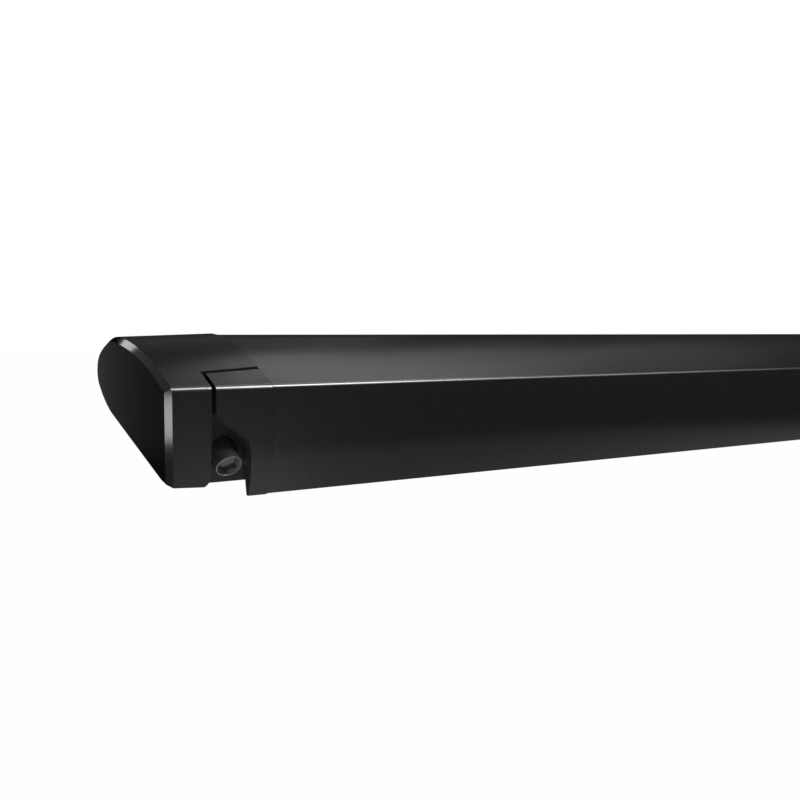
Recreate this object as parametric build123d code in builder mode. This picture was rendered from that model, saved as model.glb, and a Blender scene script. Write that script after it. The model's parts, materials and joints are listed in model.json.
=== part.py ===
from build123d import *
import math
import os

# A closed cassette awning for a camper: a housing with two end caps, a cloth roller driven by a
# crank, two folding arms, and a front rail that carries two telescopic legs.
# Lengths are millimetres. X runs along the awning, the front faces -Y and Z is up.
# "depth" is the distance behind the front face and "height" the distance above the cap's sill.
# "inset" is the distance from the left end, towards the middle.

# Overall size
LENGTH = 3000
SEAT_DEPTH = 187
SEAT_HEIGHT = 102
HALF = LENGTH / 2

# Housing and end caps
HOUSING_WALL = 2.2
CAP_WALL = 3
CAP_WIDTH = 100
CAP_FRONT_WIDTH = 41
CAP_CHAMFER = 5
CAP_SHOULDER = 30
CAP_SHOULDER_HEIGHT = 99.6
CORNER_HEIGHT = 84
CORNER_RADIUS = 5.5
SEAM_DEPTH = 31
SEAM_GAP = 0.6
CAP_SEAM_GAP = 2.8
CAP_SEAM_SLANT = 6
RECESS_DEPTH = 20.5
RECESS_TOP = 80
UNDERSIDE_SLOPE = 0.389
UNDERSIDE_EDGE = 47
UNDERSIDE_ANGLE = math.atan(UNDERSIDE_SLOPE)
HOUSING_STEP = 1.3
TONGUE_LENGTH = 16
TONGUE_SPAN = (56, 104)
PLATE_INSET = 104
PLATE_THICKNESS = 6
PLATE_FRONT = 104

# Sections of the cap at its end and at the joint: crown, ridge, lift of the underside, sill
END_SECTION = (115.4, 127.3, 2.4, -0.4)
JOINT_SECTION = (118.3, 130.4, 0, -5.5)

# Rounded lower corner of the cap beside its recess: start, middle and end of the arc
SILL_ARC = ((32.6, -2.1), (36.8, 0.9), (39, 7))
SILL_SIDE_HEIGHT = 48

# Rear mounting channel
SEAT_HALF_HEIGHT = 14
SLOT_HEIGHT = 93
SLOT_MOUTH = 8.4
SLOT_WIDTH = 15
SLOT_LIP = 4.5
SLOT_DEEP = 12
CHANNEL_DEEP = 16
BRACKET_STATIONS = (-1050, 0, 1050)
BOLT_SPACING = 60
NUT_TAP_RADIUS = 3.4

# Cloth roller
ROLLER_DEPTH = 137
ROLLER_RADIUS = 25
ROLLER_WALL = 1.5
JOURNAL_RADIUS = 8
ROLL_RADIUS = 31
RUNNING_GAP = 0.05
CLOTH_INSET = 122
CLOTH_THICKNESS = 0.6

# Crank drive: the shaft rises to the back at 3 in 4
CRANK_INSET = 60
CRANK_FACE_DEPTH = 8
CRANK_FACE_HEIGHT = 13.5
SOCKET_RADIUS = 12
SOCKET_LENGTH = 32
SOCKET_HEX = 18
SOCKET_HEX_DEPTH = 9
SOCKET_MOUTH_RADIUS = 11
SOCKET_MOUTH_DEPTH = 4
WORM_SHAFT_RADIUS = 5
WORM_RADIUS = 7
WORM_START = 136
WORM_END = 156
WHEEL_RADIUS = 12
WHEEL_TEETH = 18
WHEEL_WIDTH = 10
WORM_CENTRES = WORM_RADIUS + WHEEL_RADIUS + 0.3
ROLLER_HEIGHT = CRANK_FACE_HEIGHT + (0.6 * (ROLLER_DEPTH - CRANK_FACE_DEPTH) - WORM_CENTRES) / 0.8

# Folding arms, in a plane that drops to the front by the pitch
PITCH = math.radians(13)
SHOULDER_INSET = 170
SHOULDER_DEPTH = 88
SHOULDER_HEIGHT = 62
ARM_LENGTH = 1250
FOLD_STEP = 14
ELBOW_HEIGHT = 27
TUBE_MARGIN = 44
SPRING_START = 700
SPRING_LENGTH = 320
SPRING_RADIUS = 9
UPPER_WIDTH = 24
UPPER_HEIGHT = 42
FORE_WIDTH = 21
FORE_HEIGHT = 38
ARM_WALL = 2.2
PIN_RADIUS = 6
EAR_RADIUS = 14
KNUCKLE_RADIUS = 13
HAND_EAR_RADIUS = 12.5
EAR_THICKNESS = 5.5
OPEN_PIVOT_GAP = 0.4

# Front rail
RAIL_WALL = 2.4
RAIL_SLOPE = 0.5
RAIL_LIP_HEIGHT = -15.1
RAIL_CORNER_RADIUS = 4.2
RAIL_CAP_DROP = 0.8
RAIL_CAP_START = 45
RAIL_CAP_THICKNESS = 19
RAIL_BACK = SEAM_DEPTH - SEAM_GAP / 2
CHIN_HEIGHT = 31
WEB_DEPTH = 14
SHELF_HEIGHT = 41.5
SHELF_BACK = 46.6
GROOVE = (24, 87)
BEAD_RADIUS = 3.4
LEG_BAY = 1288
HAND_BASE_DEPTH = 22

# Support legs, one lane above the other so that each can be drawn out on its own
LEG_DEPTH = 32
LEFT_LANE = 28
RIGHT_LANE = 2
LEG_HINGE = 1262
LEG_WIDTH = 24
LEG_HEIGHT = 22
LEG_WALL = 1.6
LEG_START = 14
LEG_OUTER_LENGTH = 1150
LEG_INNER_LENGTH = 1120
LEG_SHOW = 14
LEG_GAP = 0.4
LEG_PIN_RADIUS = 3
LEVER_LENGTH = 42

os.makedirs("parts", exist_ok=True)


def point(x, depth, height):
    return (x, depth - SEAT_DEPTH, height - SEAT_HEIGHT)


def section_at(x):
    return Plane(origin=point(x, 0, 0), x_dir=(0, 1, 0), z_dir=(1, 0, 0))


def front_at(depth):
    return Plane(origin=point(0, depth, 0), x_dir=(1, 0, 0), z_dir=(0, -1, 0))


def arm_level(rise):
    level = Plane(
        origin=point(SHOULDER_INSET - HALF, SHOULDER_DEPTH, SHOULDER_HEIGHT),
        x_dir=(1, 0, 0),
        z_dir=(0, -math.sin(PITCH), math.cos(PITCH)),
    )
    return level.offset(rise)


def arm_section(reach):
    return Plane(
        origin=point(SHOULDER_INSET - HALF + reach, SHOULDER_DEPTH, SHOULDER_HEIGHT),
        x_dir=(0, math.cos(PITCH), math.sin(PITCH)),
        z_dir=(1, 0, 0),
    )


def leg_side(depth):
    return Plane(
        origin=point(-LEG_HINGE, depth, LEFT_LANE),
        x_dir=(1, 0, 0),
        z_dir=(0, -1, 0),
    )


def underside_at(x, depth):
    return Plane(
        origin=point(x, depth, underside(depth, HOUSING_STEP)),
        x_dir=(1, 0, 0),
        z_dir=(0, math.sin(UNDERSIDE_ANGLE), -math.cos(UNDERSIDE_ANGLE)),
    )


def crank_level(travel):
    along = (0, 0.8, 0.6)
    start = point(CRANK_INSET - HALF, CRANK_FACE_DEPTH, CRANK_FACE_HEIGHT)
    return Plane(origin=start, x_dir=(1, 0, 0), z_dir=along).offset(travel)


def underside(depth, raise_by=0.0):
    return 3 + UNDERSIDE_SLOPE * (depth - 28) + raise_by / math.cos(UNDERSIDE_ANGLE)


def panel(low, high, mode=Mode.ADD):
    with Locations(((low[0] + high[0]) / 2, (low[1] + high[1]) / 2)):
        Rectangle(high[0] - low[0], high[1] - low[1], mode=mode)


def block(x_span, depth_span, height_span, mode=Mode.ADD):
    spans = (x_span, depth_span, height_span)
    middle = [(span[0] + span[1]) / 2 for span in spans]
    size = [span[1] - span[0] for span in spans]
    with Locations(point(*middle)):
        Box(*size, mode=mode)


def rod(plane, radius, length, mode=Mode.ADD):
    with Locations(plane.location):
        Cylinder(radius, length, align=(Align.CENTER, Align.CENTER, Align.MIN), mode=mode)


def screw(plane, shank_radius, shank_length, head_radius, head_height, drive):
    rod(plane.offset(-shank_length), shank_radius, shank_length)
    rod(plane, head_radius, head_height)
    with BuildSketch(plane.offset(head_height)) as recess:
        RegularPolygon(drive, 6)
    extrude(recess.sketch, amount=-head_height * 0.6, mode=Mode.SUBTRACT)


def publish(piece, label):
    piece.part.label = label
    export_step(piece.part, f"parts/{label}.step")


def publish_group(piece, label):
    with BuildPart() as group:
        add(piece.part)
        mirror(piece.part, about=Plane.YZ)
    publish(group, label)


def publish_pair(piece, label):
    publish(piece, f"left_{label}")
    with BuildPart() as other:
        mirror(piece.part, about=Plane.YZ)
    publish(other, f"right_{label}")


# Screws in the underside wall, as x and depth
cap_screw_places = [(side * (HALF - PLATE_INSET - 5), depth) for side in (-1, 1) for depth in (66, 92)]
bracket_bolt_places = [
    (side * (HALF - SHOULDER_INSET) + step, 96) for side in (-1, 1) for step in (-20, 20)
]


# Screws through the web of the front rail
def web_spot(x, height, depth):
    return Plane(origin=point(x, depth, height), x_dir=(1, 0, 0), z_dir=(0, 1, 0))


rail_cap_screw_spots = [
    web_spot(side * (HALF - CAP_WIDTH - 8), 66, WEB_DEPTH + RAIL_WALL) for side in (-1, 1)
]
hand_bolt_spots = [
    web_spot(side * (HALF - SHOULDER_INSET) + step, 62, HAND_BASE_DEPTH)
    for side in (-1, 1) for step in (-18.5, 18.5)
]


# Outlines of the leaf-shaped section

def cap_outline(crown, ridge, lift, sill):
    with BuildSketch() as outline:
        with BuildLine():
            Polyline(
                (142, underside(142) + lift), (16, underside(16) + lift), (0, sill),
                (0, CORNER_HEIGHT), (CAP_SHOULDER, CAP_SHOULDER_HEIGHT),
            )
            ThreePointArc((CAP_SHOULDER, CAP_SHOULDER_HEIGHT), (72, crown), (132, ridge))
            ThreePointArc((132, ridge), (157, ridge - 4), (175.6, ridge - 13.2))
            ThreePointArc((175.6, ridge - 13.2), (186, 95.5), (180.5, 77.9))
            ThreePointArc((180.5, 77.9), (166, 64.2), (142, underside(142) + lift))
        make_face()
    return outline.sketch


def seam_plan(gap, ahead):
    # from above: the part of a cap ahead of the seam, which runs forward towards the end
    near = CAP_FRONT_WIDTH - HALF
    far = CAP_WIDTH + 1 - HALF
    slant = CAP_SEAM_SLANT / (CAP_WIDTH - CAP_FRONT_WIDTH)
    back_far = SEAM_DEPTH - gap + slant
    back_near = SEAM_DEPTH - gap - CAP_SEAM_SLANT
    edge = -5 if ahead else 80
    with BuildSketch(Plane(origin=point(0, 0, -20), x_dir=(1, 0, 0), z_dir=(0, 0, 1))) as plan:
        with BuildLine():
            Polyline((near, edge), (far, edge), (far, back_far), (near, back_near), (near, edge))
        make_face()
    return plan.sketch


def within(outline, inset):
    with BuildSketch() as inner:
        add(outline)
        offset(amount=-inset, mode=Mode.REPLACE)
    return inner.sketch


def housing_interior(clearance):
    return within(cap_outline(*JOINT_SECTION), HOUSING_STEP + HOUSING_WALL + clearance)


# Housing extrusion, with its rear mounting channel and screw channels
with BuildPart() as housing:
    with BuildSketch(section_at(CAP_WIDTH - HALF)):
        add(within(cap_outline(*JOINT_SECTION), HOUSING_STEP))
        add(housing_interior(0), mode=Mode.SUBTRACT)
        panel((0, -20), (UNDERSIDE_EDGE, 60), mode=Mode.SUBTRACT)
        panel((0, 60), (SEAM_DEPTH + SEAM_GAP / 2, 140), mode=Mode.SUBTRACT)
        panel(
            (SEAT_DEPTH - CHANNEL_DEEP, SLOT_HEIGHT - SEAT_HALF_HEIGHT),
            (SEAT_DEPTH, SLOT_HEIGHT + SEAT_HALF_HEIGHT),
        )
        panel(
            (SEAT_DEPTH - SLOT_DEEP, SLOT_HEIGHT - SLOT_WIDTH / 2),
            (SEAT_DEPTH - SLOT_LIP, SLOT_HEIGHT + SLOT_WIDTH / 2),
            mode=Mode.SUBTRACT,
        )
        panel(
            (SEAT_DEPTH - SLOT_DEEP, SLOT_HEIGHT - SLOT_MOUTH / 2),
            (SEAT_DEPTH + 1, SLOT_HEIGHT + SLOT_MOUTH / 2),
            mode=Mode.SUBTRACT,
        )
    extrude(amount=LENGTH - 2 * CAP_WIDTH)
    for place in cap_screw_places:
        rod(underside_at(*place).offset(-10), 2.2, 20, mode=Mode.SUBTRACT)
    for place in bracket_bolt_places:
        rod(underside_at(*place).offset(-10), 3.2, 20, mode=Mode.SUBTRACT)
publish(housing, "housing_profile")

# End caps: a shell that tapers towards the end, with a recess for the crank socket
recess_back = SEAM_DEPTH + 4
hollow_step = CAP_FRONT_WIDTH - 7
sill_arc = [(along - HALF, height) for along, height in SILL_ARC]

with BuildPart() as end_cap:
    with BuildSketch(section_at(CAP_CHAMFER - HALF)):
        add(cap_outline(*END_SECTION))
    extrude(amount=-CAP_CHAMFER, taper=45)
    with BuildSketch(section_at(CAP_CHAMFER - HALF)):
        add(cap_outline(*END_SECTION))
    with BuildSketch(section_at(CAP_WIDTH - HALF)):
        add(cap_outline(*JOINT_SECTION))
    loft(ruled=True)
    corner = end_cap.edges().filter_by(
        lambda edge: edge.length > CAP_WIDTH - 10
        and abs(edge.center().Z - (CORNER_HEIGHT - SEAT_HEIGHT)) < 1
        and abs(edge.center().Y + SEAT_DEPTH) < 1
    )
    fillet(corner, radius=CORNER_RADIUS)
    extrude(seam_plan(0, True), amount=160, mode=Mode.SUBTRACT)
    with BuildSketch(front_at(RECESS_DEPTH - 0.1)):
        with BuildLine():
            ThreePointArc(*sill_arc)
            Polyline(
                sill_arc[2], (CAP_FRONT_WIDTH - HALF, SILL_SIDE_HEIGHT),
                (CAP_WIDTH - HALF, SILL_SIDE_HEIGHT),
                (CAP_WIDTH - HALF, -12), (sill_arc[0][0], -12), sill_arc[0],
            )
        make_face()
    extrude(amount=RECESS_DEPTH + 5, mode=Mode.SUBTRACT)
    with BuildSketch(section_at(CAP_FRONT_WIDTH - 1 - HALF)):
        with BuildLine():
            Polyline(
                (RECESS_DEPTH, underside(16)), (RECESS_DEPTH, RECESS_TOP), (recess_back, RECESS_TOP),
                (recess_back, underside(recess_back)), (RECESS_DEPTH, underside(16)),
            )
        make_face()
    extrude(amount=44)
    with BuildSketch(section_at(CAP_WALL + 1 - HALF)):
        add(within(cap_outline(*END_SECTION), CAP_WALL))
    extrude(amount=hollow_step - CAP_WALL, mode=Mode.SUBTRACT)
    with BuildSketch(section_at(hollow_step - HALF)):
        add(within(cap_outline(116.4, 128.4, 1.5, -2.4), CAP_WALL))
        panel((0, -10), (RECESS_DEPTH + CAP_WALL, 140), mode=Mode.SUBTRACT)
        panel((0, RECESS_TOP - CAP_WALL), (SEAM_DEPTH + CAP_WALL, 140), mode=Mode.SUBTRACT)
    extrude(amount=CAP_WIDTH, mode=Mode.SUBTRACT)
    with BuildSketch(crank_level(-10)):
        Circle(SOCKET_RADIUS + 1)
    extrude(amount=60, mode=Mode.SUBTRACT)
    for start, length, outer in (
        (CAP_WIDTH - 6, TONGUE_LENGTH + 6, housing_interior(0.2)),
        (CAP_WIDTH - 12, 12, cap_outline(118, 130.1, 0.4, -5)),
    ):
        with BuildSketch(section_at(start - HALF)):
            panel((TONGUE_SPAN[0], -20), (TONGUE_SPAN[1], 60))
            add(outer, mode=Mode.INTERSECT)
            add(housing_interior(3.2), mode=Mode.SUBTRACT)
        extrude(amount=length)
    for place in cap_screw_places[:2]:
        rod(underside_at(*place).offset(-10), 2.1, 20, mode=Mode.SUBTRACT)
publish_pair(end_cap, "end_cap")

# Screws in the underside wall: the small ones hold the caps, the large ones the shoulder brackets
with BuildPart() as underside_screws:
    for place in cap_screw_places:
        screw(underside_at(*place), 2, 6, 4.5, 2.6, 2.2)
    for place in bracket_bolt_places:
        screw(underside_at(*place), 3, 8, 5.5, 4, 2.8)
publish(underside_screws, "underside_screws")

# Bearing plates and bushes for the roller
with BuildPart() as bearing_plate:
    with BuildSketch(section_at(PLATE_INSET - HALF)):
        add(housing_interior(0.3))
        panel((0, -20), (PLATE_FRONT, 140), mode=Mode.SUBTRACT)
        panel((SEAT_DEPTH - CHANNEL_DEEP - 1, 0), (SEAT_DEPTH + 5, 140), mode=Mode.SUBTRACT)
        with Locations((ROLLER_DEPTH, ROLLER_HEIGHT)):
            Circle(11.1, mode=Mode.SUBTRACT)
    extrude(amount=PLATE_THICKNESS)
publish_pair(bearing_plate, "bearing_plate")

with BuildPart() as bush:
    with BuildSketch(section_at(PLATE_INSET - 1 - HALF)):
        with Locations((ROLLER_DEPTH, ROLLER_HEIGHT)):
            Circle(11)
    extrude(amount=PLATE_THICKNESS + 1)
    with BuildSketch(section_at(PLATE_INSET + PLATE_THICKNESS - HALF)):
        with Locations((ROLLER_DEPTH, ROLLER_HEIGHT)):
            Circle(14)
    extrude(amount=2)
    with BuildSketch(section_at(-HALF)):
        with Locations((ROLLER_DEPTH, ROLLER_HEIGHT)):
            Circle(JOURNAL_RADIUS + RUNNING_GAP)
    extrude(amount=200, mode=Mode.SUBTRACT)
publish_group(bush, "roller_bushes")

# Cloth roller: tube, plugs with journals, worm wheel and the wound cloth
with BuildPart() as roller_tube:
    with BuildSketch(section_at(PLATE_INSET + 12 - HALF)):
        with Locations((ROLLER_DEPTH, ROLLER_HEIGHT)):
            Circle(ROLLER_RADIUS)
            Circle(ROLLER_RADIUS - ROLLER_WALL, mode=Mode.SUBTRACT)
    extrude(amount=LENGTH - 2 * (PLATE_INSET + 12))
publish(roller_tube, "roller_tube")

for side_name, journal_start in (("left", CRANK_INSET - 8), ("right", PLATE_INSET - 2)):
    with BuildPart() as plug:
        for start, radius, length in (
            (PLATE_INSET + 12, ROLLER_RADIUS - ROLLER_WALL - 0.1, 38),
            (PLATE_INSET + 9, ROLLER_RADIUS + 0.5, 3),
            (journal_start, JOURNAL_RADIUS, PLATE_INSET + 12 - journal_start),
        ):
            with BuildSketch(section_at(start - HALF)):
                with Locations((ROLLER_DEPTH, ROLLER_HEIGHT)):
                    Circle(radius)
            extrude(amount=length)
    with BuildPart() as roller_plug:
        if side_name == "left":
            add(plug.part)
        else:
            mirror(plug.part, about=Plane.YZ)
    publish(roller_plug, f"{side_name}_roller_plug")

with BuildPart() as worm_wheel:
    with BuildSketch(section_at(CRANK_INSET - WHEEL_WIDTH / 2 - HALF)):
        with Locations((ROLLER_DEPTH, ROLLER_HEIGHT)):
            Circle(WHEEL_RADIUS - 2)
            with PolarLocations(WHEEL_RADIUS - 1.6, WHEEL_TEETH):
                Rectangle(3, 2.2)
            Circle(JOURNAL_RADIUS + 0.02, mode=Mode.SUBTRACT)
    extrude(amount=WHEEL_WIDTH)
publish(worm_wheel, "worm_wheel")

with BuildPart() as canopy_roll:
    with BuildSketch(section_at(CLOTH_INSET - HALF)):
        with Locations((ROLLER_DEPTH, ROLLER_HEIGHT)):
            Circle(ROLL_RADIUS)
            Circle(ROLLER_RADIUS + 0.2, mode=Mode.SUBTRACT)
    extrude(amount=LENGTH - 2 * CLOTH_INSET)
publish(canopy_roll, "canopy_roll")

# Crank socket and worm shaft
with BuildPart() as crank_socket:
    rod(crank_level(0), SOCKET_RADIUS, SOCKET_LENGTH)
    chamfer(crank_socket.edges().filter_by(GeomType.CIRCLE), length=0.5)
    with BuildSketch(crank_level(0)) as key:
        RegularPolygon(SOCKET_HEX / 2, 6, major_radius=False, rotation=30)
    extrude(key.sketch, amount=SOCKET_HEX_DEPTH, mode=Mode.SUBTRACT)
    with Locations(crank_level(0).location):
        Cone(
            SOCKET_MOUTH_RADIUS, SOCKET_HEX / 2, SOCKET_MOUTH_DEPTH,
            align=(Align.CENTER, Align.CENTER, Align.MIN), mode=Mode.SUBTRACT,
        )
publish(crank_socket, "crank_socket")

with BuildPart() as worm_shaft:
    rod(crank_level(SOCKET_LENGTH), WORM_SHAFT_RADIUS, WORM_END + 3 - SOCKET_LENGTH)
    for thread in range(5):
        rod(crank_level(WORM_START + 1 + 4 * thread), WORM_RADIUS, 1.8)
publish(worm_shaft, "worm_shaft")

# Gearbox: an open case round the wheel and worm, and its cover
def gearbox_outline():
    with BuildSketch() as outline:
        with Locations((ROLLER_DEPTH, ROLLER_HEIGHT)):
            Circle(18)
        worm_line = Plane(
            origin=(CRANK_FACE_DEPTH, CRANK_FACE_HEIGHT, 0), x_dir=(0.8, 0.6, 0), z_dir=(0, 0, 1)
        )
        with Locations(worm_line.location * Location(((WORM_START + WORM_END) / 2, 0))):
            Rectangle(WORM_END - WORM_START + 8, 20)
    return outline.sketch


with BuildPart() as gearbox_case:
    with BuildSketch(section_at(CRANK_INSET - 12 - HALF)):
        add(gearbox_outline())
    extrude(amount=26)
    with BuildSketch(section_at(CRANK_INSET + 12 - HALF)):
        with Locations((ROLLER_DEPTH, ROLLER_HEIGHT)):
            Circle(14)
    extrude(amount=PLATE_INSET - 1 - CRANK_INSET - 12)
    with BuildSketch(section_at(CRANK_INSET - 12 - HALF)):
        add(gearbox_outline())
        offset(amount=-2.5, mode=Mode.REPLACE)
    extrude(amount=22, mode=Mode.SUBTRACT)
    with BuildSketch(section_at(-HALF)):
        with Locations((ROLLER_DEPTH, ROLLER_HEIGHT)):
            Circle(JOURNAL_RADIUS + 1)
    extrude(amount=PLATE_INSET, mode=Mode.SUBTRACT)
    rod(crank_level(WORM_START - 10), WORM_SHAFT_RADIUS + RUNNING_GAP, 60, mode=Mode.SUBTRACT)
publish(gearbox_case, "gearbox_case")

with BuildPart() as gearbox_cover:
    with BuildSketch(section_at(CRANK_INSET - 15.2 - HALF)):
        add(gearbox_outline())
    extrude(amount=3)
publish(gearbox_cover, "gearbox_cover")

# Shoulder brackets, seated on the underside wall, with their pins and bolts
with BuildPart() as shoulder_bracket:
    for low, high in ((UPPER_HEIGHT / 2 + 0.5, UPPER_HEIGHT / 2 + 0.5 + EAR_THICKNESS),
                      (-UPPER_HEIGHT / 2 - 0.5 - EAR_THICKNESS, -UPPER_HEIGHT / 2 - 0.5)):
        with BuildSketch(arm_level(low)):
            Circle(EAR_RADIUS)
            panel((-EAR_RADIUS, 0), (EAR_RADIUS, 21))
        extrude(amount=high - low)
    with BuildSketch(arm_level(-UPPER_HEIGHT / 2 - 1)):
        panel((-EAR_RADIUS, 15.5), (EAR_RADIUS, 21))
    extrude(amount=UPPER_HEIGHT + 2)
    with BuildSketch(arm_level(-60)):
        panel((-28, -EAR_RADIUS), (28, 30))
    extrude(amount=60 - UPPER_HEIGHT / 2 - 0.5)
    with BuildSketch(section_at(SHOULDER_INSET - 40 - HALF)):
        add(housing_interior(0.2))
    extrude(amount=80, mode=Mode.INTERSECT)
    rod(arm_level(-60), PIN_RADIUS + 0.02, 120, mode=Mode.SUBTRACT)
    for step in (-20, 20):
        rod(underside_at(SHOULDER_INSET - HALF + step, 96).offset(-14), 3.1, 20, mode=Mode.SUBTRACT)
publish_pair(shoulder_bracket, "shoulder_bracket")

with BuildPart() as shoulder_pin:
    pin_half = UPPER_HEIGHT / 2 + EAR_THICKNESS + 0.5
    rod(arm_level(-pin_half), PIN_RADIUS, 2 * pin_half)
    rod(arm_level(pin_half), PIN_RADIUS + 2, 2)
publish_group(shoulder_pin, "shoulder_pins")

# Slot nuts in the rear channel
with BuildPart() as slot_nuts:
    for station in BRACKET_STATIONS:
        for step in (-BOLT_SPACING / 2, BOLT_SPACING / 2):
            block(
                (station + step - 12, station + step + 12),
                (SEAT_DEPTH - SLOT_DEEP + 0.6, SEAT_DEPTH - SLOT_LIP),
                (SLOT_HEIGHT - SLOT_WIDTH / 2 + 0.4, SLOT_HEIGHT + SLOT_WIDTH / 2 - 0.4),
            )
            hole = Plane(
                origin=point(station + step, SEAT_DEPTH, SLOT_HEIGHT), x_dir=(1, 0, 0), z_dir=(0, 1, 0)
            )
            rod(hole.offset(-20), NUT_TAP_RADIUS, 40, mode=Mode.SUBTRACT)
publish(slot_nuts, "slot_nuts")

# Folding arms
elbow_reach = math.sqrt(ARM_LENGTH**2 - FOLD_STEP**2)
elbow_step = -FOLD_STEP
hand_step = -2 * FOLD_STEP
upper_near = 2 - UPPER_WIDTH / 2
upper_far = 2 + UPPER_WIDTH / 2
fore_near = -29 - FORE_WIDTH / 2
fore_far = -29 + FORE_WIDTH / 2


def arm_tube(middle, width, height):
    with BuildPart() as tube:
        with BuildSketch(arm_section(TUBE_MARGIN)):
            with Locations((middle, 0)):
                RectangleRounded(width, height, 4)
                RectangleRounded(width - 2 * ARM_WALL, height - 2 * ARM_WALL, 2, mode=Mode.SUBTRACT)
        extrude(amount=elbow_reach - 2 * TUBE_MARGIN)
    return tube


def knuckle(reach, step, near, far, height, tube_height, bore, inward):
    tube_end = reach + inward * TUBE_MARGIN
    with BuildPart() as piece:
        with BuildSketch(arm_level(-height / 2)):
            with Locations((reach, step)):
                Circle(KNUCKLE_RADIUS)
            panel((min(reach, tube_end), near), (max(reach, tube_end), far))
        extrude(amount=height)
        with BuildSketch(arm_section(tube_end)):
            with Locations(((near + far) / 2, 0)):
                RectangleRounded(far - near, tube_height, 4)
        extrude(amount=-inward * 6)
        with BuildSketch(arm_section(tube_end)):
            with Locations(((near + far) / 2, 0)):
                RectangleRounded(
                    far - near - 2 * ARM_WALL - 0.3, tube_height - 2 * ARM_WALL - 0.3, 1.8
                )
        extrude(amount=inward * 28)
        with Locations(arm_level(-height / 2 - 5).location * Location((reach, step))):
            Cylinder(
                bore, height + 10, align=(Align.CENTER, Align.CENTER, Align.MIN), mode=Mode.SUBTRACT
            )
    return piece


def arm_pin(reach, step, half_height, head):
    with BuildPart() as pin:
        with Locations(arm_level(-half_height).location * Location((reach, step))):
            Cylinder(PIN_RADIUS, 2 * half_height, align=(Align.CENTER, Align.CENTER, Align.MIN))
        with Locations(arm_level(half_height).location * Location((reach, step))):
            Cylinder(head, 2, align=(Align.CENTER, Align.CENTER, Align.MIN))
    return pin


publish_pair(arm_tube(2, UPPER_WIDTH, UPPER_HEIGHT), "upper_arm_tube")
publish_pair(arm_tube(-29, FORE_WIDTH, FORE_HEIGHT), "forearm_tube")
publish_pair(
    knuckle(0, 0, upper_near, upper_far, UPPER_HEIGHT, UPPER_HEIGHT, PIN_RADIUS + RUNNING_GAP, 1),
    "shoulder_knuckle",
)
publish_pair(
    knuckle(
        elbow_reach, elbow_step, fore_near, fore_far, ELBOW_HEIGHT, FORE_HEIGHT,
        PIN_RADIUS + RUNNING_GAP, -1,
    ),
    "elbow_knuckle",
)
publish(
    knuckle(
        0, hand_step, fore_near, fore_far, FORE_HEIGHT, FORE_HEIGHT, PIN_RADIUS + RUNNING_GAP, 1
    ),
    "left_hand_knuckle",
)
open_hand = knuckle(
    0, hand_step, fore_near, fore_far, FORE_HEIGHT, FORE_HEIGHT, PIN_RADIUS + OPEN_PIVOT_GAP, 1
)
with BuildPart() as right_hand:
    mirror(open_hand.part, about=Plane.YZ)
publish(right_hand, "right_hand_knuckle")

with BuildPart() as elbow_fork:
    fork_end = elbow_reach - TUBE_MARGIN
    with BuildSketch(arm_section(fork_end)):
        with Locations((2, 0)):
            RectangleRounded(UPPER_WIDTH, UPPER_HEIGHT, 4)
    extrude(amount=20)
    with BuildSketch(arm_section(fork_end)):
        with Locations((2, 0)):
            RectangleRounded(
                UPPER_WIDTH - 2 * ARM_WALL - 0.3, UPPER_HEIGHT - 2 * ARM_WALL - 0.3, 1.8
            )
    extrude(amount=-28)
    for low in (ELBOW_HEIGHT / 2 + 0.5, -ELBOW_HEIGHT / 2 - 0.5 - EAR_THICKNESS):
        with BuildSketch(arm_level(low)):
            with Locations((elbow_reach, elbow_step)):
                Circle(EAR_RADIUS)
            with BuildLine():
                Polyline(
                    (fork_end, upper_far), (fork_end, upper_near), (elbow_reach - 6, elbow_step - 12.6),
                    (elbow_reach + 6, elbow_step + 12.6), (fork_end, upper_far),
                )
            make_face()
        extrude(amount=EAR_THICKNESS)
    with Locations(arm_level(-30).location * Location((elbow_reach, elbow_step))):
        Cylinder(
            PIN_RADIUS + 0.02, 60, align=(Align.CENTER, Align.CENTER, Align.MIN), mode=Mode.SUBTRACT
        )
publish_pair(elbow_fork, "elbow_fork")
publish_pair(arm_pin(elbow_reach, elbow_step, ELBOW_HEIGHT / 2 + EAR_THICKNESS + 0.5, 8), "elbow_pin")

with BuildPart() as arm_spring:
    with BuildSketch(arm_section(SPRING_START)):
        with Locations((2, 0)):
            Circle(SPRING_RADIUS)
            Circle(SPRING_RADIUS - 2.5, mode=Mode.SUBTRACT)
    extrude(amount=SPRING_LENGTH)
publish_pair(arm_spring, "arm_spring")


# Front rail, with the web that carries the hands, the shelf over the legs and the cloth groove
def rail_outline(corner_radius):
    with BuildSketch() as outline:
        with BuildLine():
            ThreePointArc((20, -24), (5.6, 5), (0, CHIN_HEIGHT))
            Polyline(
                (0, CHIN_HEIGHT), (0, CORNER_HEIGHT), (60, CORNER_HEIGHT + 60 * RAIL_SLOPE),
                (60, -24), (20, -24),
            )
        make_face()
        fillet(outline.vertices().filter_by(lambda v: v.X < 0.1 and v.Y > 80), corner_radius)
    return outline.sketch


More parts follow.
